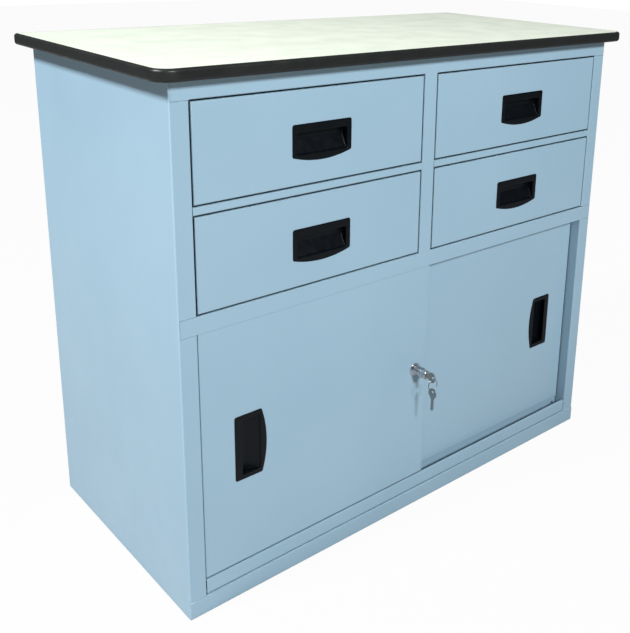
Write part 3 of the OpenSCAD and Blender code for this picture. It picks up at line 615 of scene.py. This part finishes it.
def key(name, node, body, hanging):
    """A key in place of a CAD one; a hanging key points down, and the other points into the lock along +Y."""
    low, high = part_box(node)
    thickness = (high.x - low.x) / MM
    bow_r = min(high.z - low.z, high.y - low.y) / MM / 2
    total = max(high.z - low.z, high.y - low.y) / MM
    bow_y = -(total - KEY_BLADE - bow_r)
    hole_v = bow_y - bow_r + KEY_HOLE + KEY_HOLE_MARGIN
    body_mesh = plate(name, key_outline(bow_y, bow_r), (0, hole_v, KEY_HOLE), thickness, KEY_EDGE)
    piece = bpy.data.objects.new(name, body_mesh)
    scene.collection.objects.link(piece)
    middle = (low + high) / 2
    if hanging:
        turn = Matrix(((0, 0, 1, 0), (1, 0, 0, 0), (0, -1, 0, 0), (0, 0, 0, 1)))
        shoulder = Vector((middle.x, middle.y, low.z + KEY_BLADE * MM))
    else:
        turn = Matrix(((0, 0, 1, 0), (0, 1, 0, 0), (-1, 0, 0, 0), (0, 0, 0, 1)))
        shoulder = Vector((middle.x, high.y - KEY_BLADE * MM, middle.z))
    piece.data.transform(Matrix.Translation(shoulder) @ turn)
    piece.data.materials.clear()
    piece.data.materials.append(FINISHES["key_steel"])
    piece.data.shade_smooth()
    piece.modifiers.new("normals", "WEIGHTED_NORMAL").keep_sharp = False
    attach(piece, body)
    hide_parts(node)


def split_ring():
    """Two turns of wire that lie on each other."""
    low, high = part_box("key_ring")
    centre = (low + high) / 2
    wire = (high.y - low.y) / 4
    radius = (high.x - low.x) / 2 - 2 * wire
    turns, steps, sides = 2, 64, 10
    last = turns * steps
    points = []
    for i in range(last + 1):
        angle = 2 * pi * i / steps + radians(40)
        along = -wire * cos(pi * smooth_step((i / last - 0.46) / 0.08))
        for j in range(sides):
            around = 2 * pi * j / sides
            r = radius + wire * cos(around)
            points.append(centre + Vector((r * cos(angle), along + wire * sin(around), r * sin(angle))))
    faces = bridge(last + 1, sides)
    faces += [tuple(range(sides)), tuple(last * sides + j for j in reversed(range(sides)))]
    new_piece("split_ring", points, faces, "key_steel", "hanging_keys", "key_ring")


key("key_in_lock", "key", "key", False)
key("key_hanging", "spare_key", "hanging_keys", True)
split_ring()


# Camera, fitted to the photograph

# The place is counted in metres from the foot of the left front corner, and the turns are in radians
CAMERA_FROM_LEFT_FRONT_CORNER = (-0.5745, -1.0886, 1.0731)
TURN = -0.7354
DIP = 0.2812
ROLL = 0.0271
FOCAL_PIXELS = 889.1
FRAME_W, FRAME_H = 630, 633
PRINCIPAL_X, PRINCIPAL_Y = 390, 195
SENSOR = 36


def add_camera():
    side_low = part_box("left_side_panel")[0]
    corner = Vector((side_low.x, side_low.y, 0))
    forward = Vector((-sin(TURN) * cos(DIP), cos(TURN) * cos(DIP), -sin(DIP)))
    right = forward.cross(Vector((0, 0, 1))).normalized()
    up = right.cross(forward)
    camera_x = right * cos(ROLL) + up * sin(ROLL)
    camera_y = up * cos(ROLL) - right * sin(ROLL)
    data = bpy.data.cameras.new("camera")
    camera = bpy.data.objects.new("camera", data)
    scene.collection.objects.link(camera)
    axes = Matrix((camera_x, camera_y, -forward)).transposed().to_4x4()
    camera.matrix_world = Matrix.Translation(corner + Vector(CAMERA_FROM_LEFT_FRONT_CORNER)) @ axes
    longest = max(FRAME_W, FRAME_H)
    data.sensor_width = SENSOR
    data.lens = FOCAL_PIXELS * SENSOR / longest
    data.shift_x = (FRAME_W / 2 - PRINCIPAL_X) / longest
    data.shift_y = (PRINCIPAL_Y - FRAME_H / 2) / longest
    scene.camera = camera


# Studio: pale floor, soft lights

def stage_material():
    """Pale floor that shows white to the camera, and still takes the object's shadow."""
    f = Finish("stage_white", (0.34, 0.34, 0.34, 1), 0.9)
    f.set("Roughness", f.ranged(f.noise(0.4), 0.85, 0.95))
    glow = f.add("ShaderNodeEmission")
    path = f.add("ShaderNodeLightPath")
    share = f.times(path.outputs["Is Camera Ray"], 0.96)
    mix = f.add("ShaderNodeMixShader")
    f.link(share, mix.inputs["Fac"])
    f.link(f.shader.outputs["BSDF"], mix.inputs[1])
    f.link(glow.outputs["Emission"], mix.inputs[2])
    f.link(mix.outputs["Shader"], f.tree.nodes["Material Output"].inputs["Surface"])
    return f.material


def add_floor_plane():
    size = 12.0
    corners = [(-size, -size, 0), (size, -size, 0), (size, size, 0), (-size, size, 0)]
    mesh = bpy.data.meshes.new("studio_floor")
    mesh.from_pydata(corners, [], [(0, 1, 2, 3)])
    floor = bpy.data.objects.new("studio_floor", mesh)
    scene.collection.objects.link(floor)
    floor.data.materials.append(stage_material())


def add_light(name, location, target, size, power):
    data = bpy.data.lights.new(name, "AREA")
    data.energy = power
    data.size = size
    light = bpy.data.objects.new(name, data)
    scene.collection.objects.link(light)
    light.location = location
    light.rotation_euler = (Vector(target) - Vector(location)).to_track_quat("-Z", "Y").to_euler()


def add_world():
    world = bpy.data.worlds.new("studio")
    world.use_nodes = True
    scene.world = world
    tree = world.node_tree
    background = tree.nodes["Background"]
    background.inputs["Color"].default_value = (0.96, 0.95, 1.0, 1)
    background.inputs["Strength"].default_value = 0.09
    white = tree.nodes.new("ShaderNodeBackground")
    white.inputs["Color"].default_value = (1, 1, 1, 1)
    path = tree.nodes.new("ShaderNodeLightPath")
    mix = tree.nodes.new("ShaderNodeMixShader")
    tree.links.new(path.outputs["Is Camera Ray"], mix.inputs["Fac"])
    tree.links.new(background.outputs["Background"], mix.inputs[1])
    tree.links.new(white.outputs["Background"], mix.inputs[2])
    tree.links.new(mix.outputs["Shader"], tree.nodes["World Output"].inputs["Surface"])


add_camera()
add_floor_plane()
add_world()
add_light("left_light", (-3.6, 0.4, 4.1), (-0.2, 0, 0.6), 0.75, 400)
add_light("front_light", (-0.55, -3.7, 2.7), (0, 0, 0.6), 0.6, 192)
scene.view_settings.view_transform = "Standard"
